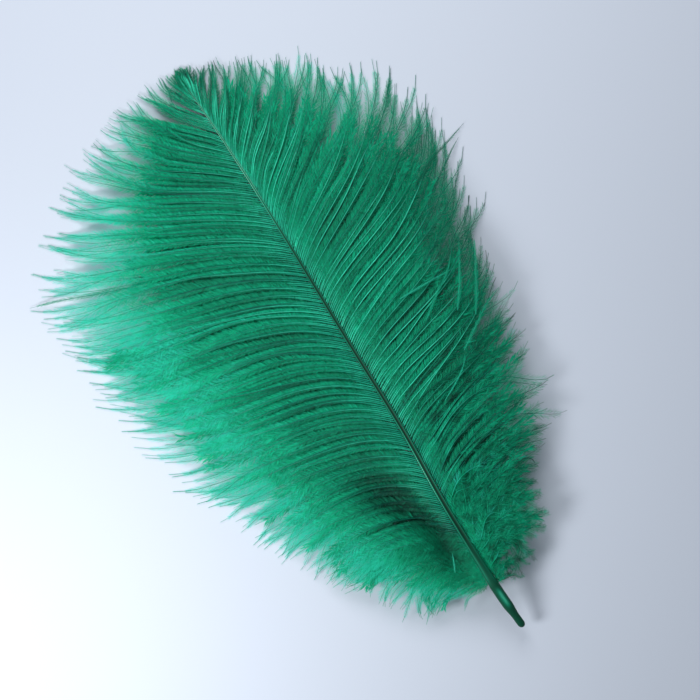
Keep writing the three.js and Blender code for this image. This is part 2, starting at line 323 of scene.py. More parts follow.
class Bands:
    """The bands that barbs lie in. A band's crest is near its lower border, where it dips steeply."""

    def __init__(self, first_y, last_y, kind):
        edges = [first_y - 1.0]
        while edges[-1] < last_y + 1.0:
            width = rng.uniform(*kind.band) * np.interp(edges[-1], *BANDS_NARROW)
            edges.append(edges[-1] + width)
        self.edges = np.array(edges + [edges[-1] + kind.band[1]])
        number = len(self.edges)
        self.strength = rng.uniform(*kind.strength, number)
        self.tone = rng.normal(0, kind.band_tone, number)
        self.phase = rng.uniform(0, 2 * math.pi, number)
        self.turns = rng.uniform(0.5, 1.6, number)
        self.wander = rng.uniform(-1, 1, number) * kind.wander
        merges = rng.uniform(0, 1, number) < kind.merging
        self.merging = np.where(merges, rng.uniform(*MERGED, number), 0.0)
        self.merging_from = rng.uniform(*MERGES_FROM, number)

    def border(self, number, share):
        """Where the border below a band lies, counted along the shaft."""
        edge = self.edges[number][:, None]
        above = self.edges[np.minimum(number + 1, len(self.edges) - 1)][:, None]
        start = self.merging_from[number][:, None]
        closed = smoothstep(share, start, start + MERGES_OVER) * (1 - smoothstep(share, *MERGED_UNTIL))
        closed = closed * self.merging[number][:, None]
        turn = self.phase[number][:, None] + 2 * math.pi * self.turns[number][:, None] * share
        wave = self.wander[number][:, None] * np.sin(turn) * smoothstep(share, 0.04, 0.25)
        return edge + (above - edge) * closed + wave

    def place(self, root_y, band):
        """Where between its band's borders a barb leaves the shaft, 0 to 1."""
        return (root_y - self.edges[band]) / (self.edges[band + 1] - self.edges[band])


LOCK_REACH = 3                 # barbs this far below the first lock belong to it
LOCK_HOLD = (0.62, 1.0)        # how far the tips in a lock come together
LOCK_CLOSES = (0.2, 0.85)      # over which shares of the barbs' length
LOCKS_FORM_OVER = 40           # the first locks are less firm, over this distance
LOCKS_LOOSEN = (218, 232)      # and so are the last ones, at the feather's tip
LOCK_FIRMNESS = (0.75, 1, 1, 0.45)
LOCK_THINS_OVER = 12           # the distance over which locks' barbules get shorter
LOCK_THINS_FROM = (0.5, 0.78)  # and the shares of a barb's length


def tufts(root_y, kind, share, size):
    """How far each barb's outer end moves, so that the tips come together in small tufts."""
    number = np.cumsum(rng.uniform(0, 1, len(root_y)) < kind.tuft_start)
    middle = (np.bincount(number, root_y) / np.maximum(np.bincount(number), 1))[number]
    hold = kind.tuft * rng.uniform(0.2, 1.6, len(root_y))[:, None] * smoothstep(share, 0.6, 0.95)
    if kind.locks:
        locks = np.array(kind.locks)
        in_lock = root_y > locks[0] - LOCK_REACH
        middle = np.where(in_lock, locks[np.abs(root_y[:, None] - locks).argmin(1)], middle)
        firm = rng.uniform(*LOCK_HOLD, len(root_y))[:, None] * smoothstep(share, *LOCK_CLOSES)
        stages = [locks[0], locks[0] + LOCKS_FORM_OVER, *LOCKS_LOOSEN]
        firm = firm * np.interp(root_y, stages, LOCK_FIRMNESS)[:, None]
        hold = np.where(in_lock[:, None], firm, hold)
    shared = rng.normal(0, kind.tuft_drift, number[-1] + 1)[number][:, None] * share**5
    return (middle - root_y)[:, None] * hold + shared * size


TONES = (0.03, 0.97)  # the darkest and the lightest dye
FULL_SIZE = 60        # barbs at least this long bend and wander fully
STRAY = 4.0           # how much more a stray barb wanders
CREST_LEVEL = 0.6     # part of a band's height that is above the plain layer
BACK_SLOPE = 0.85     # part of it that is lost towards the upper border


def barb_roots(first_y, last_y, kind):
    """Where the barbs leave the shaft, without the missing ones."""
    number = int((last_y - first_y) / kind.spacing)
    root_y = first_y + (np.arange(number) + rng.uniform(-0.25, 0.25, number)) * kind.spacing
    for start, end in kind.missing:
        root_y = root_y[(root_y < start) | (root_y > end)]
    return root_y


def crest_barbs(place, band, crest):
    """Which barb of each band is the one on its crest."""
    off_crest = np.abs(place - crest)
    nearest = np.full(band.max() + 1, np.inf)
    np.minimum.at(nearest, band, off_crest)
    return off_crest <= nearest[band]


def own_wander(stray, kind, share, size):
    """How far each barb drifts and waves away from its place in the band."""
    count = len(stray)
    own = (rng.normal(0, kind.drift, count) * stray)[:, None] * share**2.5
    phase = rng.uniform(0, 2 * math.pi, count)[:, None]
    turns = rng.uniform(0.5, 1.3, count)[:, None]
    wave = (rng.normal(0, kind.wave, count) * stray)[:, None] * share
    return (own + wave * np.sin(phase + 2 * math.pi * turns * share)) * size


def barb_reach(root_y, kind):
    """How much of the full length each barb has."""
    count = len(root_y)
    follows = rng.uniform(0, 1, count) > kind.leaders
    reach = 1 + rng.normal(0, kind.uneven, count) + 0.012 * np.sin(root_y / 4.3 + 2)
    return (reach - follows * rng.uniform(*kind.shorter, count))[:, None]


def barb_tones(points, root_y, share, kind, band_tone, in_hollow):
    """How light each barb is along it: the dye, which varies at random, with painted light beside the
    shaft and on the outer part, and painted shade in the hollow.
    """
    tone = kind.tone + band_tone + rng.normal(0, 0.045, len(root_y))
    outer = np.interp(root_y, *kind.outer_painted_light)[:, None] * smoothstep(share, *kind.outer_from)
    amount, distance = kind.mottle
    tone = tone[:, None] + outer + 0.05 * smoothstep(share, 0.2, 0.4)
    # Painted light beside the shaft.
    tone = tone + kind.root_painted_light * (1 - smoothstep(share, 0.06, 0.18))
    tone = tone + amount * cloudiness(points, distance) * smoothstep(share, 0.05, 0.25)
    # Painted shade: the barbs are darker in the hollow, most of all in its lower end.
    if in_hollow:
        low_end = 1 - smoothstep(points[..., 1], *HOLLOW_LOW_END)
        darker = HOLLOW_PAINTED_SHADE + HOLLOW_LOW_PAINTED_SHADE * low_end
        tone = tone - darker * hollow(points, HOLLOW_PAINTED_SHADE_BREADTH)
    return np.clip(tone, *TONES)


def barb_lengths(points):
    return np.linalg.norm(points[:, 1:] - points[:, :-1], axis=-1).sum(1)


def make_barbs(side, first_y, last_y, kind):
    """Barb centrelines from first_y to last_y, in bands, fanning out to the edge."""
    root_y = barb_roots(first_y, last_y, kind)
    count = len(root_y)
    whole = side.point(root_y, np.ones(count)) - side.point(root_y, np.zeros(count))
    size = np.clip(np.linalg.norm(whole, axis=-1) / FULL_SIZE, 0.1, 1)[:, None]
    bands = Bands(first_y, last_y, kind)
    band = np.searchsorted(bands.edges, root_y) - 1
    strength = bands.strength[band][:, None]
    share = np.linspace(0, 1, BARB_STEPS)[None, :]

    # Where each barb lies along the feather.
    below, above = bands.border(band, share), bands.border(band + 1, share)
    place = bands.place(root_y, band)
    is_crest = crest_barbs(place, band, kind.crest)
    not_open = 1 - smoothstep(share, *kind.opening)
    closed = kind.gather * smoothstep(share, *kind.closing) * not_open
    place = place[:, None] + (kind.crest - place[:, None]) * closed
    lying = below + (above - below) * place
    stray = np.where(rng.uniform(0, 1, count) < kind.stray, STRAY, 1.0)
    lying = lying + own_wander(stray, kind, share, size)
    lying = lying + tufts(root_y, kind, share, size)
    reach = barb_reach(root_y, kind)
    points = side.point(lying, share * reach)

    # How high it lies.
    rises, stands, sinks, lies = kind.standing
    standing = smoothstep(share, rises, stands) * (1 - smoothstep(share, sinks, lies))
    profile = np.where(place < kind.crest, place / kind.crest,
                       1 - BACK_SLOPE * (place - kind.crest) / (1 - kind.crest))
    height = kind.ridge * strength * (profile - CREST_LEVEL) * standing
    layer = rng.normal(0, kind.layer, count) + 0.5 * (stray - 1) / 3
    in_hollow = side.sign < 0
    if in_hollow:
        height = height * (1 - HOLLOW_FLATTENS * hollow(points))
    points[..., 2] += height + layer[:, None] * np.sin(math.pi * share**0.7) - kind.sunk * standing
    _, sideways, _ = along_barbs(points)
    bend = rng.normal(0, kind.curl, count)[:, None] * smoothstep(share, 0.68, 1.0) ** 1.5
    points = points + sideways * (bend * size)[..., None]
    if in_hollow:
        points[..., 2] -= HOLLOW_DEPTH * hollow(points) * smoothstep(share, 0.03, 0.2)
    points = rest_on_surface(points)

    in_lock = np.zeros(count)
    if kind.locks:
        in_lock = smoothstep(root_y, kind.locks[0], kind.locks[0] + LOCK_THINS_OVER)
    room_below, room_above = (np.abs(((points - side.point(edge, share * reach)) * sideways).sum(-1))
                              for edge in (below, above))
    return {
        "points": points, "share": share[0], "is_crest": is_crest, "strength": bands.strength[band],
        "room_below": room_below, "room_above": room_above, "standing": standing * strength,
        "in_lock": in_lock, "length": barb_lengths(points), "kind": kind, "side": side,
        "tone": barb_tones(points, root_y, share, kind, bands.tone[band], in_hollow)}


def loose_barbs(lines, kind, side):
    """Single barbs along given points."""
    points = np.array([
        smooth_curve(places, np.linspace(0, len(places) - 1, BARB_STEPS)) for _, places in lines])
    none = np.zeros(len(lines))
    flat = np.zeros((len(lines), BARB_STEPS))
    return {
        "points": points, "share": np.linspace(0, 1, BARB_STEPS), "is_crest": none > 0, "strength": none,
        "room_below": flat, "room_above": flat, "standing": flat, "in_lock": none,
        "length": barb_lengths(points), "kind": kind, "side": side,
        "tone": flat + np.array([[tone] for tone, _ in lines])}


SHARED = ("share", "kind", "side")  # by all barbs of a set


def some_of(barbs, first, last):
    """Only the barbs from first up to last."""
    return {key: value if key in SHARED else value[first:last] for key, value in barbs.items()}


def cloudiness(points, scale):
    """A slow, even noise from a few crossing waves, about -1 to 1."""
    x, y = points[..., 0] / scale, points[..., 1] / scale
    return (np.sin(1.7 * x + 2.3 * y + 0.4) + np.sin(-2.9 * x + 1.1 * y + 2.1)
            + np.sin(0.6 * x - 3.7 * y + 4.0)) / 3


def along_barbs(points):
    """Unit vectors at every point of the barbs: forwards, sideways and up out of the vane."""
    forwards = unit(np.gradient(points, axis=1))
    up = np.zeros_like(points)
    up[..., 2] = 1.0
    sideways = unit(np.cross(up, forwards))
    return forwards, sideways, unit(np.cross(forwards, sideways))


# ---- meshes from arrays

SHADE_MIDDLE = 0.42  # the tone that a barb's own shaft takes its plain shade at
STAGGER = 0.07       # how far the shades and widths of neighbours are out of step
STAGGER_TURN = 7.3   # radians from barb to barb


def barb_shafts(barbs):
    """Each barb's own shaft: a thin three-sided tube that tapers to the barb's tip."""
    points, kind, share = barbs["points"], barbs["kind"], barbs["share"]
    count, steps = points.shape[:2]
    _, sideways, up = along_barbs(points)
    crest = (barbs["is_crest"] * np.clip(barbs["strength"], 0, 1.1))[:, None]
    step = STAGGER * np.sin(STAGGER_TURN * np.arange(count))[:, None]
    place = share + step * smoothstep(share, 0.06, 0.2)

    def with_crests(plain, crests):
        low = np.interp(place, *plain)
        return low + crest * (np.interp(place, *crests) - low)

    radius = with_crests(kind.radius, kind.crest_radius)
    turns = (math.pi / 2, math.pi * 7 / 6, math.pi * 11 / 6)
    rings = [points + radius[..., None] * (math.cos(a) * sideways + math.sin(a) * up) for a in turns]
    vertices = np.stack(rings, 2).reshape(-1, 3)
    index = np.arange(count * steps * 3).reshape(count, steps, 3)
    triangles = []
    for side in range(3):
        a, b = index[:, :-1, side], index[:, :-1, (side + 1) % 3]
        c, d = index[:, 1:, (side + 1) % 3], index[:, 1:, side]
        triangles += [faces(a, b, c), faces(a, c, d)]
    # Shafts on the crests get a painted highlight.
    shade = with_crests(kind.shade, kind.crest_painted_highlight)
    tones = np.repeat((shade + 0.9 * (barbs["tone"] - SHADE_MIDDLE)).ravel(), 3)
    along = np.repeat(np.tile(share, count), 3)
    jog = np.tile([0.0, 0.004, 0.008], count * steps)
    return vertices, np.concatenate(triangles), np.clip(tones, *TONES), along, jog


CLUMP = 3              # barbules on a side that lie together
CLUMPS = 400           # at most, along both sides of one barb
FULL_BARBULES = 50     # barbs at least this long have barbules of full length
ANGLE_SPREAD = 7       # degrees, from barbule to barbule
CLUMP_ANGLE_SPREAD = 6
BLADE_BEND = 0.45      # share of a barbule's length where it is widest and bends
SAG = (0, 0, 0.25)
ROOT_DROP = 0.12       # how far below the barb they start beside the feather's shaft
LOWEST_BARBULE = 0.05  # above the surface
SHORTEST_BARBULE = 0.2


def blades(base, directions, hand, angle, tilt, reach, share, kind):
    """The corners of pointed blades: the base, both sides of the bend, and the tip."""
    ahead, across, out = directions
    total = len(base)
    aside = across * (hand * np.cos(tilt))[:, None] + out * np.sin(tilt)[:, None]
    first = unit(ahead * np.cos(angle)[:, None] + aside * np.sin(angle)[:, None])
    second = unit(first + 0.4 * ahead + rng.normal(0, 0.15, (total, 3)) - SAG)
    middle = base + first * (reach * BLADE_BEND)[:, None]
    tip = middle + second * (reach * (1 - BLADE_BEND))[:, None]
    flat = unit(out + across * (0.5 * rng.normal(0, 1, total))[:, None])
    breadth = unit(np.cross(first, flat))
    wide = (np.interp(share, *kind.barbule_width) * rng.uniform(0.75, 1.2, total) * 0.5)[:, None]
    corners = np.stack([base, middle - breadth * wide, middle + breadth * wide, tip], 1)
    corners[..., 2] = np.maximum(corners[..., 2], LOWEST_BARBULE)
    return corners


def barbules(barbs):
    """Barbules on both sides of every barb: thin pointed blades that bend towards its tip."""
    points, kind = barbs["points"], barbs["kind"]
    counts = np.maximum((barbs["length"] / kind.barbule_spacing).astype(int), 2)
    owner = np.repeat(np.arange(len(counts)), counts * 2)
    total = len(owner)
    number = np.arange(total) - (np.cumsum(counts * 2) - counts * 2)[owner]
    hand = 1.0 - 2 * (number % 2)
    share = np.interp((number // 2 + rng.uniform(0, 1, total)) / counts[owner], *kind.barbule_places)
    spot = share * (BARB_STEPS - 1)
    low = np.minimum(spot.astype(int), BARB_STEPS - 2)
    part = spot - low
    clump = ((number // 2) // CLUMP * 2 + number % 2) % CLUMPS
    clump_bend = rng.normal(0, 1, (len(counts), CLUMPS))[owner, clump]
    clump_tone = rng.normal(0, 1, (len(counts), CLUMPS))[owner, clump]

    def sample(values):
        weight = part if values.ndim == 2 else part[:, None]
        return values[owner, low] * (1 - weight) + values[owner, low + 1] * weight

    base = sample(points)
    base[:, 2] -= ROOT_DROP * (1 - smoothstep(share, 0.06, 0.14))
    directions = [unit(sample(v)) for v in along_barbs(points)]
    upwards = hand * barbs["side"].sign > 0
    standing = sample(barbs["standing"])

    spread = ANGLE_SPREAD * rng.normal(0, 1, total) + CLUMP_ANGLE_SPREAD * clump_bend
    angle = np.radians(np.interp(share, *kind.angle) + spread)
    length = kind.barbule_length * np.clip(barbs["length"] / FULL_BARBULES, 0.3, 1)[owner]
    reach = length * np.interp(share, *kind.envelope) * rng.uniform(0.7, 1.15, total)
    thinner = kind.lock_thin * barbs["in_lock"][owner] * smoothstep(share, *LOCK_THINS_FROM)
    reach = reach * (1 - thinner)
    if kind.confined:
        room = np.where(upwards, sample(barbs["room_above"]), sample(barbs["room_below"]))
        free = smoothstep(share, 0.5, 0.8) * 9
        reach = np.minimum(reach, (room * rng.uniform(0.85, 1.3, total) + 0.35) / np.sin(angle) + free)
    droop = np.where(upwards, *kind.droop) * standing
    lift = np.interp(share, *kind.rise) * (0.7 * rng.normal(0, 1, total) + 0.7 * clump_bend)
    corners = blades(base, directions, hand, angle, np.radians(lift - droop), reach, share, kind)

    tone = sample(barbs["tone"]) + 0.04 * rng.normal(0, 1, total) + 0.06 * clump_tone
    # Painted light on the upper barbules of crest barbs, and painted shade on the barbules that hang
    # towards the dip below.
    glow = kind.crest_painted_light * barbs["is_crest"][owner] * (1 - smoothstep(share, 0.4, 0.7))
    tone = tone + np.where(upwards, glow, -kind.dip_painted_shade) * standing
    keep = reach > SHORTEST_BARBULE
    corners, tone = corners[keep], np.clip(tone, *TONES)[keep]
    start = np.arange(len(corners))[:, None] * 4
    triangles = np.concatenate([start + t for t in ((0, 1, 2), (3, 2, 1))])
    along = np.tile([0.02, 0.5, 0.5, 1.0], len(corners))
    jog = np.tile([0.0, -0.006, 0.006, 0.0], len(corners))
    return corners.reshape(-1, 3), triangles, np.repeat(tone, 4), along, jog


def faces(*corners):
    """Triangles from arrays of their corners."""
    return np.stack(corners, -1).reshape(-1, 3)


def put_in_scene(name, data):
    thing = bpy.data.objects.new(name, data)
    bpy.context.scene.collection.objects.link(thing)
    return thing


def mesh_piece(name, part, material, node):
    """A mesh from arrays of vertices, triangles, tone, place along and UV width, for a CAD node."""
    vertices, triangles, tone, along, jog = part
    mesh = bpy.data.meshes.new(name)
    mesh.vertices.add(len(vertices))
    mesh.vertices.foreach_set("co", ((vertices + ORIGIN) * MM).astype(np.float32).ravel())
    mesh.loops.add(triangles.size)
    mesh.loops.foreach_set("vertex_index", triangles.astype(np.int32).ravel())
    mesh.polygons.add(len(triangles))
    mesh.polygons.foreach_set("loop_start", np.arange(0, triangles.size, 3, dtype=np.int32))
    mesh.update(calc_edges=True)
    for label, values in (("tone", tone), ("along", along)):
        mesh.attributes.new(label, "FLOAT", "POINT").data.foreach_set("value", values.astype(np.float32))
    uv = np.stack([np.clip(tone + jog, 0.001, 0.999), 0.01 + 0.98 * along], -1)[triangles.ravel()]
    mesh.uv_layers.new(name="OFBake").data.foreach_set("uv", uv.astype(np.float32).ravel())
    mesh.shade_smooth()
    mesh.materials.append(material)
    piece = put_in_scene(name, mesh)
    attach(piece, "root")
    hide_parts(node)


# ---- materials

class Nodes:
    """A short way to write a node tree."""

    def __init__(self, name):
        self.material = bpy.data.materials.new(name)
        self.material.use_nodes = True
        self.tree = self.material.node_tree
        self.tree.nodes.clear()

    def add(self, node_type, inputs=(), **settings):
        node = self.tree.nodes.new(node_type)
        for key, value in settings.items():
            setattr(node, key, value)
        for key, value in dict(inputs).items():
            socket = node.inputs[key]
            if isinstance(value, bpy.types.NodeSocket):
                self.tree.links.new(value, socket)
            else:
                socket.default_value = (*value, 1.0) if socket.type == "RGBA" else value
        return node

    def ramp(self, factor, stops):
        node = self.add("ShaderNodeValToRGB", {"Fac": factor})
        elements = node.color_ramp.elements
        while len(elements) < len(stops):
            elements.new(0.5)
        for element, (position, colour) in zip(elements, stops):
            element.position = position
            element.color = (*colour, 1.0)
        return node.outputs["Color"]

    def attribute(self, name):
        return self.add("ShaderNodeAttribute", attribute_name=name).outputs["Fac"]

    def mix(self, factor, a, b, blend_type="MIX"):
        inputs = {0: factor, 6: a, 7: b}
        return self.add("ShaderNodeMix", inputs, data_type="RGBA", blend_type=blend_type).outputs[2]

    def times(self, a, b):
        return self.mix(1.0, a, b, "MULTIPLY")

    def grey(self, value):
        colour = self.add("ShaderNodeCombineColor", {"Red": value, "Green": value, "Blue": value})
        return colour.outputs[0]

    def scale(self, value, low, high, to_low, to_high):
        node = self.add("ShaderNodeMapRange", {
            "Value": value, "From Min": low, "From Max": high, "To Min": to_low, "To Max": to_high})
        return node.outputs["Result"]

    def varied(self, noise, low, high):
        """A noise spread over low to high: most of its values are from 0.3 to 0.7."""
        return self.scale(noise, 0.3, 0.7, low, high)

    def noise(self, scale, detail=2.0, stretch=(1.0, 1.0, 1.0)):
        place = self.add("ShaderNodeTexCoord").outputs["Object"]
        mapping = self.add("ShaderNodeMapping", {"Vector": place, "Scale": stretch})
        texture = self.add("ShaderNodeTexNoise", {
            "Vector": mapping.outputs[0], "Scale": scale, "Detail": detail})
        return texture.outputs["Fac"]

    def finish(self, shader):
        self.add("ShaderNodeOutputMaterial", {"Surface": shader.outputs[0]})
        return self.material


def barbule_material(name):
    """Dyed barbules: matt, paler and more see-through where the tone is light, with painted light at
    their bases and painted shade towards their tips.
    """
    n = Nodes(name)
    tone = n.attribute("tone")
    dye = n.ramp(tone, [(0.0, (0.011, 0.07, 0.046)), (0.42, (0.008, 0.38, 0.195)),
                        (0.7, (0.013, 0.66, 0.385)), (0.9, (0.06, 0.88, 0.66))])
    glow = n.ramp(tone, [(0.0, (0.011, 0.10, 0.065)), (0.42, (0.010, 0.50, 0.27)),
                         (0.7, (0.025, 0.84, 0.50)), (0.9, (0.16, 0.96, 0.82))])
    cloud = n.varied(n.noise(260.0), 0.9, 1.1)
    # Painted light at the barbules' bases on the ridges and painted shade towards their tips in the
    # troughs; it fades out where the tone is light.
    painted_light_to_shade = n.ramp(n.attribute("along"), [(0.0, (1.25, 1.25, 1.25)), (0.5, (1.0, 1.0, 1.0)),
                                           (1.0, (0.65, 0.65, 0.65))])
    painted_light_to_shade = n.mix(n.scale(tone, 0.45, 0.75, 0.0, 1.0), painted_light_to_shade, (1.0, 1.0, 1.0))
    surface = n.add("ShaderNodeBsdfPrincipled", {
        "Base Color": n.times(dye, n.times(n.grey(cloud), painted_light_to_shade)),
        "Roughness": n.varied(n.noise(900.0), 0.5, 0.75), "Specular IOR Level": 0.12})
    through = n.add("ShaderNodeBsdfTranslucent", {"Color": glow})
    see_through = n.scale(tone, 0.35, 0.8, 0.14, 0.55)
    return n.finish(n.add("ShaderNodeMixShader", {
        "Fac": see_through, 1: surface.outputs[0], 2: through.outputs[0]}))


def barb_material(name):
    """The barbs' own shafts: smooth and glossy, with a painted highlight on the crests, and dark at the
    tips.
    """
    n = Nodes(name)
    dye = n.ramp(n.attribute("tone"), [(0.0, (0.002, 0.05, 0.04)), (0.25, (0.003, 0.16, 0.11)),
                                       (0.5, (0.010, 0.34, 0.21)), (0.9, (0.05, 0.80, 0.52))])
    cloud = n.varied(n.noise(500.0), 0.8, 1.2)
    surface = n.add("ShaderNodeBsdfPrincipled", {
        "Base Color": n.times(dye, n.grey(cloud)),
        "Roughness": n.varied(n.noise(700.0), 0.3, 0.5), "Specular IOR Level": 0.25})
    return n.finish(surface)


def shaft_material(name):
    """Satin horn, nearly black to pale green by tone, streaked along the shaft."""
    n = Nodes(name)
    colour = n.ramp(n.attribute("tone"), [
        (0.0, (0.003, 0.03, 0.016)), (0.3, (0.006, 0.085, 0.045)), (0.6, (0.012, 0.26, 0.15)),
        (0.85, (0.06, 0.50, 0.31)), (1.0, (0.70, 0.82, 0.70))])
    streaks = n.noise(1.0, 3.0, (2600.0, 120.0, 2600.0))
    streaked = n.mix(streaks, (0.72, 0.72, 0.72), (1.25, 1.25, 1.25))
    bump = n.add("ShaderNodeBump", {"Height": streaks, "Strength": 0.25, "Distance": 0.0002})
    surface = n.add("ShaderNodeBsdfPrincipled", {
        "Base Color": n.times(colour, streaked),
        "Roughness": n.varied(streaks, 0.4, 0.6), "Normal": bump.outputs[0],
        "Specular IOR Level": 0.12})
    return n.finish(surface)


def plain_material(name, colour, roughness):
    n = Nodes(name)
    return n.finish(n.add("ShaderNodeBsdfPrincipled", {"Base Color": colour, "Roughness": roughness}))


# ---- shaft

SHAFT_SIDES = 24
SHAFT_STEP = 0.32
GROOVE_DEPTH = 0.6        # of the shaft's radius
BARE_UNTIL = (19, 24)     # where the bare quill goes over into the rachis
LEFT_RIM = (-0.66, 0.24)  # where the groove's pale rims are across the shaft, and how broad
RIGHT_RIM = (0.68, 0.2)
RIM_PAINTED_HIGHLIGHT = (70, 17)         # painted highlight on the rims: where along the shaft it is strongest, and over what length
QUILL_PAINTED_HIGHLIGHT = (14, 3.9)    # painted highlight on the bare quill's face, along it and across it
QUILL_PAINTED_HIGHLIGHT_ACROSS = (0.12, 0.4)
RIB_SPACING = 0.95        # of the barbs' bases, seen along the rims
LIGHTER_TO_TIP = (150, 205)


def peak(x, middle, width, power=2):
    return np.exp(-((x - middle) / width) ** power)


def shaft_tones(rows, turn, upper, grooved):
    """Dark green and darker down the groove's middle, with two pale rims beside it that carry a painted
    highlight, and a painted highlight on the bare quill's face.
    """
    across, on_top = np.cos(turn)[None, :], (np.sin(turn) > 0)[None, :]
    along = rows[:, None]
    bare = 1 - smoothstep(along, *BARE_UNTIL)
    # pale and face are painted highlights: along the rims, the left one most, and on the bare quill's
    # face.
    pale = peak(along, *RIM_PAINTED_HIGHLIGHT)
    left_rim, right_rim = peak(across, *LEFT_RIM) * on_top, peak(across, *RIGHT_RIM) * on_top
    face = peak(along, *QUILL_PAINTED_HIGHLIGHT, 4) * peak(across, *QUILL_PAINTED_HIGHLIGHT_ACROSS)
    ribs = 0.5 + 0.5 * np.sin(2 * math.pi * along / RIB_SPACING)
    rims = left_rim * (0.46 + 0.36 * pale) + right_rim * (0.44 + 0.2 * pale)
    rims = rims * (0.75 + 0.35 * ribs) - 0.14 * upper**4
    tone = 0.2 + (1 - bare) * (0.18 * (1 - grooved) + (0.35 + 0.65 * grooved) * rims)
    return tone + bare * (0.10 + 0.55 * face) + 0.4 * smoothstep(along, *LIGHTER_TO_TIP)


def make_shaft():
    """The quill and rachis: round and bare at the end, grooved along the top between the barbs."""
    ends = QUILL_END_ROUNDING * (1 - np.cos(np.linspace(0.12, 1, 7) * math.pi / 2))
    body = np.arange(QUILL_END_ROUNDING + 0.4, SHAFT_END, SHAFT_STEP)
    rows = np.concatenate([ends, body, [SHAFT_END]])
    turn = np.arange(SHAFT_SIDES) / SHAFT_SIDES * 2 * math.pi
    radius = shaft_radius(rows)[:, None]
    grooved = smoothstep(rows, *GROOVE)[:, None]
    upper = np.maximum(0, np.sin(turn))[None, :]
    across = np.cos(turn)[None, :] * radius
    up = np.sin(turn)[None, :] * radius - upper**8 * grooved * GROOVE_DEPTH * radius
    points = shaft_centre(rows)[:, None, :] + np.stack([across, np.zeros_like(across), up], -1)
    count = len(rows)
    index = np.arange(count * SHAFT_SIDES).reshape(count, SHAFT_SIDES)
    beside = np.roll(index, -1, 1)
    a, b, c, d = index[:-1], beside[:-1], beside[1:], index[1:]
    poles = np.vstack([shaft_centre(0.0), shaft_centre(SHAFT_END) + [0, 2 * RACHIS_TIP_RADIUS, 0]])
    start, end = (np.full(SHAFT_SIDES, count * SHAFT_SIDES + k) for k in (0, 1))
    triangles = np.concatenate([
        faces(a, c, b), faces(a, d, c),
        faces(start, index[0], beside[0]), faces(end, beside[-1], index[-1])])
    vertices = np.vstack([points.reshape(-1, 3), poles])
    tones = shaft_tones(rows, turn, upper, grooved).ravel()
    tones = np.clip(np.append(tones, [0.3, 0.3]), 0.02, 0.98)
    around = np.append(np.tile(np.arange(SHAFT_SIDES) / SHAFT_SIDES, count), [0.5, 0.5])
    return vertices, triangles, tones, around, np.zeros(len(tones))


# ---- the plume

# Where the tufts round the feather's tip come together, and where it has gaps.
LEFT_LOCKS = (157, 163.5, 169, 175, 181, 186.5, 192.5, 198, 203.5, 208, 213.5, 224.5, 230.5, 241)
RIGHT_LOCKS = (160, 167, 174, 181, 188.5, 196, 203, 209.5, 216, 222, 228, 240)
LEFT_MISSING = ((218.4, 219.7), (227.0, 227.9), (233.2, 234.6))


def line(start, end):
    """A setting that changes evenly along a barb."""
    return [0, 1], [start, end]


def even(value):
    return line(value, value)


left_vane = Barbing(locks=LEFT_LOCKS, missing=LEFT_MISSING)
right_looks = dict(
    closing=(0.06, 0.24), standing=(0.09, 0.24, 0.6, 0.9), ridge=1.4, crest_painted_light=0.1, dip_painted_shade=0.22)
right_vane = Barbing(
    band=(1.5, 3.4), strength=(0.4, 1.3), gather=0.55, wander=0.8, merging=0.4, locks=RIGHT_LOCKS,
    drift=2.0, curl=3.6, stray=0.07, leaders=0.7, shorter=(0.0, 0.1), tone=0.385, band_tone=0.07,
    root_painted_light=0.06, lock_thin=0.15,
    envelope=([0, 0.06, 0.1, 0.16, 0.66, 0.8, 0.92, 1], [0.12, 0.18, 0.5, 1, 1, 0.85, 0.5, 0.15]),
    crest_radius=([0, 0.08, 0.14, 0.2, 0.55, 0.85, 1], [0.3, 0.28, 0.2, 0.26, 0.24, 0.16, 0.07]),
    crest_painted_highlight=([0, 0.08, 0.16, 0.55, 0.7, 1], [0.6, 0.66, 0.9, 0.85, 0.4, 0.2]),
    # Kept low: painted shade on this vane's outer part, which is turned from the lamp.
    outer_painted_light=([0, 90, 140, 160, 175, 195, 220, 232, 250],
                [0.02, 0.01, 0.06, 0.17, 0.26, 0.24, 0.12, -0.08, -0.12]), **right_looks)
right_low = Barbing(
    band=(1.2, 3.6), strength=(0.4, 1.5), gather=0.5, wander=1.3, merging=0.5, crest=0.35, tuft=0.6,
    drift=3.0, wave=1.6, curl=5.5, stray=0.1, shorter=(0.0, 0.2), band_tone=0.08, root_painted_light=0.1,
    mottle=(0.26, 3.6), shade=([0, 0.09, 0.2, 0.7, 1], [0.36, 0.4, 0.3, 0.2, 0.2]),
    crest_painted_highlight=([0, 0.08, 0.3, 0.5, 1], [0.4, 0.46, 0.55, 0.3, 0.2]),
    envelope=([0, 0.06, 0.1, 0.16, 0.7, 0.82, 0.92, 1], [0.12, 0.18, 0.5, 1, 1, 1, 0.75, 0.2]),
    outer_painted_light=([0, 40, 60, 90], [0.0, 0.02, 0.08, 0.04]), **right_looks)

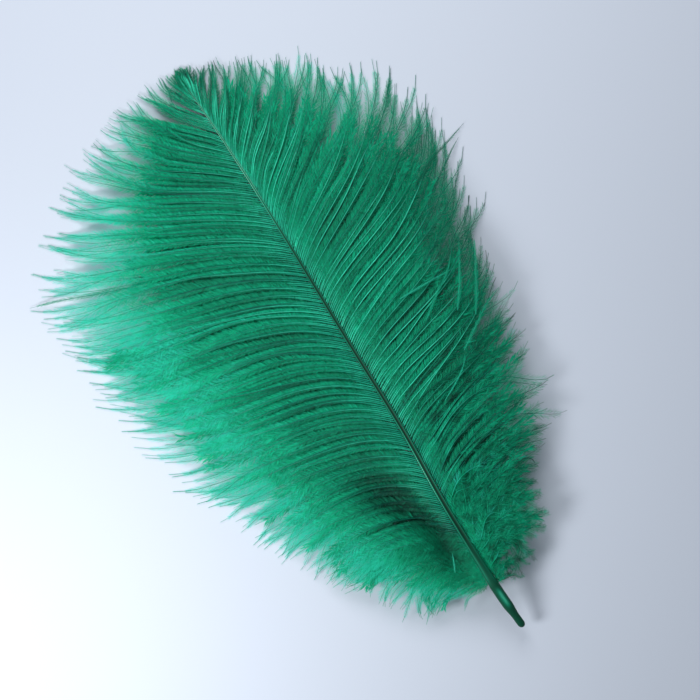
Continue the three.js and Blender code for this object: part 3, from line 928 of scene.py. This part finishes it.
thin_radius = ([0, 0.7, 1], [0.13, 0.12, 0.07])
left_down_shade = ([0, 0.1, 0.3, 0.8, 1], [0.5, 0.4, 0.3, 0.2, 0.06])
down_left = Barbing(
    spacing=0.45, band=(1.0, 2.6), gather=0.3, ridge=0.6, drift=1.0, tuft_drift=2.2, curl=1.8,
    tuft=0.9, tuft_start=0.16, leaders=0.4, shorter=(0.04, 0.16), uneven=0.05, radius=thin_radius,
    crest_radius=thin_radius, shade=left_down_shade, crest_painted_highlight=left_down_shade,
    barbule_spacing=0.19, barbule_length=5.2, barbule_places=line(0, 0.93),
    barbule_width=line(0.14, 0.06), confined=False,
    envelope=([0, 0.05, 0.2, 0.6, 0.85, 1], [0.4, 0.7, 1, 0.9, 0.42, 0.16]),
    angle=line(58, 36), droop=(2, 2), rise=even(26), tone=0.56)
right_downy = dict(
    band=(1.2, 3.0), wander=1.2, stray=0.1, radius=thin_radius, confined=False,
    crest_radius=([0, 0.7, 1], [0.2, 0.16, 0.07]), barbule_places=line(0, 0.99),
    angle=line(60, 38), rise=line(25, 32))
down_right = Barbing(
    spacing=0.45, strength=(0.3, 1.6), gather=0.7, closing=(0.05, 0.3), opening=(0.8, 1.2),
    merging=0.5, standing=(0.05, 0.2, 0.8, 1.0), tuft=0.8, drift=3.0, wave=1.8, tuft_drift=2.0,
    curl=7.0, shorter=(0.0, 0.4), mottle=(0.4, 2.6), tone=0.52, outer_painted_light=even(-0.02),
    crest_painted_highlight=([0, 0.1, 0.3, 0.8, 1], [0.5, 0.5, 0.7, 0.5, 0.24]), barbule_length=7.0,
    barbule_width=line(0.15, 0.07), envelope=([0, 0.05, 0.2, 0.8, 1], [0.3, 0.5, 1, 0.9, 0.4]),
    **right_downy)
tangle = Barbing(
    spacing=0.9, gather=0.5, ridge=0.8, sunk=-1.2, tuft=0.7, drift=4.0, wave=4.0, tuft_drift=4.0,
    curl=10.0, leaders=0, shorter=(0.25, 0.7), mottle=(0.38, 2.4), tone=0.54, outer_painted_light=even(0.04),
    crest_painted_highlight=([0, 0.1, 0.3, 0.8, 1], [0.5, 0.5, 0.75, 0.6, 0.3]), barbule_length=6.5,
    barbule_width=line(0.16, 0.08), envelope=([0, 0.05, 0.2, 0.8, 1], [0.4, 0.7, 1, 0.9, 0.5]),
    **right_downy)
crown = Barbing(
    spacing=0.7, gather=0, ridge=0.3, merging=0, wander=0, tuft=0, tuft_drift=0, drift=1.4, curl=2.4,
    leaders=0.3, shorter=(0.0, 0.6), barbule_length=5.5, barbule_places=line(0, 1),
    barbule_width=([0, 0.5, 1], [0.17, 0.15, 0.08]), envelope=([0, 0.1, 0.3, 1], [0.12, 0.7, 1, 0.9]),
    angle=([0, 0.5, 1], [50, 40, 12]), confined=False, tone=0.3, outer_painted_light=even(0.06))
loose = Barbing(
    radius=([0, 0.6, 1], [0.17, 0.14, 0.06]), shade=even(0.42), confined=False, barbule_length=3.0,
    barbule_places=line(0, 0.9), barbule_width=line(0.12, 0.06),
    envelope=([0, 0.2, 0.7, 1], [0.3, 1, 0.7, 0.2]), angle=line(40, 24))


def under_layer(ends_at):
    """Wide barbules below the barbs, without shafts, which keep the light from coming through; their
    dark tone is painted shade.
    """
    return Barbing(
        spacing=1.7, band=(3.0, 6.0), gather=0.0, ridge=0.0, merging=0, wander=0, sunk=2.2, stray=0,
        leaders=0.2, shorter=(0.0, 0.35), curl=0, barbule_spacing=0.5, barbule_length=5.0,
        barbule_places=line(0.01, ends_at), barbule_width=even(0.42),
        envelope=([0, 0.05, 0.12, 1], [0.4, 0.8, 1, 1]), confined=False, angle=line(26, 22),
        droop=(0, 0), rise=even(6), tone=0.26, outer_painted_light=even(0.3))


# Dye colours, with painted light and shade carried in the tone.
barbule_dye_and_painted_light = barbule_material("dyed_barbules_painted_light")
down_dye_and_painted_light = barbule_material("dyed_down_painted_light")
barb_dye_and_painted_light = barb_material("dyed_barb_shafts_painted_light")
quill_dye_and_painted_light = shaft_material("dyed_quill_painted_light")


def join(first, second):
    """One set of mesh arrays from two."""
    moved = second[0], second[1] + len(first[0]), *second[2:]
    return [np.concatenate(pair) for pair in zip(first, moved)]


def vane_piece(name, side, part, material):
    mesh_piece(name, part, material, f"vane_{side.name}")


LAST_BARB = 243.0
# The stretches of the two vanes: name, side, kind, first and last barb, number of pieces.
STRETCHES = (
    ("left", LEFT, left_vane, 36.0, LAST_BARB, 4),
    ("right_low", RIGHT, right_low, 38.0, 84.0, 1),
    ("right", RIGHT, right_vane, 84.0, LAST_BARB, 3),
    ("left_crown", LEFT, crown, 235.0, LAST_BARB, 1),
    ("right_crown", RIGHT, crown, 235.0, LAST_BARB, 1),
)
for name, side, kind, first_y, last_y, pieces in STRETCHES:
    barbs = make_barbs(side, first_y, last_y, kind)
    vane_piece(f"{name}_barb_shafts", side, barb_shafts(barbs), barb_dye_and_painted_light)
    growth = np.cumsum(barbs["length"])
    borders = [0, *np.searchsorted(growth, growth[-1] * np.arange(1, pieces) / pieces), len(growth)]
    for number in range(pieces):
        cut = some_of(barbs, borders[number], borders[number + 1])
        vane_piece(f"{name}_barbules_{number + 1}", side, barbules(cut), barbule_dye_and_painted_light)

# The layers below them: name, side, first and last barb, share of the barbs that they reach.
UNDER_LAYERS = (
    ("left_lower", LEFT, 24.0, 150.0, 0.84),
    ("left_upper", LEFT, 150.0, 221.0, 0.6),
    ("right_lower", RIGHT, 26.0, 90.0, 0.88),
    ("right_upper", RIGHT, 90.0, 218.0, 0.76),
)
for name, side, first_y, last_y, ends_at in UNDER_LAYERS:
    barbs = make_barbs(side, first_y, last_y, under_layer(ends_at))
    vane_piece(f"{name}_barbules", side, barbules(barbs), barbule_dye_and_painted_light)

# The down beside the lowest part of the shaft: name, side, kind, last barb.
DOWNS = (
    ("left_down", LEFT, down_left, 44.0),
    ("right_down", RIGHT, down_right, 44.0),
    ("right_tangle", RIGHT, tangle, 58.0),
)
for name, side, kind, last_y in DOWNS:
    barbs = make_barbs(side, side.sample_y[0] + 0.3, last_y, kind)
    part = join(barb_shafts(barbs), barbules(barbs))
    mesh_piece(name, part, down_dye_and_painted_light, f"down_{side.name}")

for side, lines in ((LEFT, LOOSE_LEFT), (RIGHT, LOOSE_RIGHT)):
    barbs = loose_barbs(lines, loose, side)
    vane_piece(f"{side.name}_loose", side, barb_shafts(barbs), barb_dye_and_painted_light)
    vane_piece(f"{side.name}_loose_barbules", side, barbules(barbs), barbule_dye_and_painted_light)

mesh_piece("quill_and_rachis", make_shaft(), quill_dye_and_painted_light, "shaft")

# ---- floor, light and camera

IMAGE_SIDE = 700       # pixels
TIP_PIXEL = (172.0, 66.0)
QUILL_PIXEL = (524.5, 628.5)
PLUME_LENGTH = 250.0
VIEW_HEIGHT = 1.0      # metres from the surface to the camera
FRAMED_HEIGHT = 0.012  # the level that the picture's scale holds at
SENSOR = 36.0

lean = math.atan2(QUILL_PIXEL[0] - TIP_PIXEL[0], QUILL_PIXEL[1] - TIP_PIXEL[1])
mm_per_pixel = PLUME_LENGTH / math.dist(QUILL_PIXEL, TIP_PIXEL)


def row_direction(right, up):
    """A level direction in the row frame, from one in the picture."""
    return Vector((right * math.cos(lean) + up * math.sin(lean),
                   -right * math.sin(lean) + up * math.cos(lean), 0.0))


middle_pixel = IMAGE_SIDE / 2
to_middle = row_direction(middle_pixel - QUILL_PIXEL[0], QUILL_PIXEL[1] - middle_pixel) * mm_per_pixel

camera_data = bpy.data.cameras.new("camera")
camera_data.sensor_width = SENSOR
camera_data.lens = SENSOR * (VIEW_HEIGHT - FRAMED_HEIGHT) / (IMAGE_SIDE * mm_per_pixel * MM)
camera_data.clip_end = 20.0
camera = put_in_scene("camera", camera_data)
camera.location = ((to_middle.x + ORIGIN[0]) * MM, (to_middle.y + ORIGIN[1]) * MM, VIEW_HEIGHT)
camera.rotation_euler = (0.0, 0.0, -lean)
bpy.context.scene.camera = camera

FLOOR_HALF = 3.0
floor_mesh = bpy.data.meshes.new("floor")
floor_corners = [(x * FLOOR_HALF, y * FLOOR_HALF, 0) for x, y in ((-1, -1), (1, -1), (1, 1), (-1, 1))]
floor_mesh.from_pydata(floor_corners, [], [(0, 1, 2, 3)])
floor_mesh.materials.append(plain_material("pale_surface", (0.74, 0.80, 0.90), 0.7))
floor = put_in_scene("floor", floor_mesh)


def soft_light(name, direction, distance, height, size, power, colour):
    data = bpy.data.lights.new(name, "AREA")
    data.shape = "DISK"
    data.size = size
    data.energy = power
    data.color = colour
    light = put_in_scene(name, data)
    light.location = direction.normalized() * distance + Vector((0, 0, height))
    light.rotation_euler = (-light.location).to_track_quat("-Z", "Y").to_euler()
    light.visible_camera = False


soft_light("window", row_direction(-0.754, -0.657), distance=0.241, height=0.222, size=0.12,
           power=0.672, colour=(0.97, 0.98, 1.0))
soft_light("wall", row_direction(-0.182, 0.983), distance=0.378, height=0.374, size=0.36,
           power=1.435, colour=(0.98, 0.98, 1.0))

world = bpy.data.worlds.new("sky")
world.use_nodes = True
background = world.node_tree.nodes["Background"]
background.inputs["Color"].default_value = (0.82, 0.90, 1.0, 1.0)
background.inputs["Strength"].default_value = 0.228
bpy.context.scene.world = world
bpy.context.scene.view_settings.view_transform = "Standard"
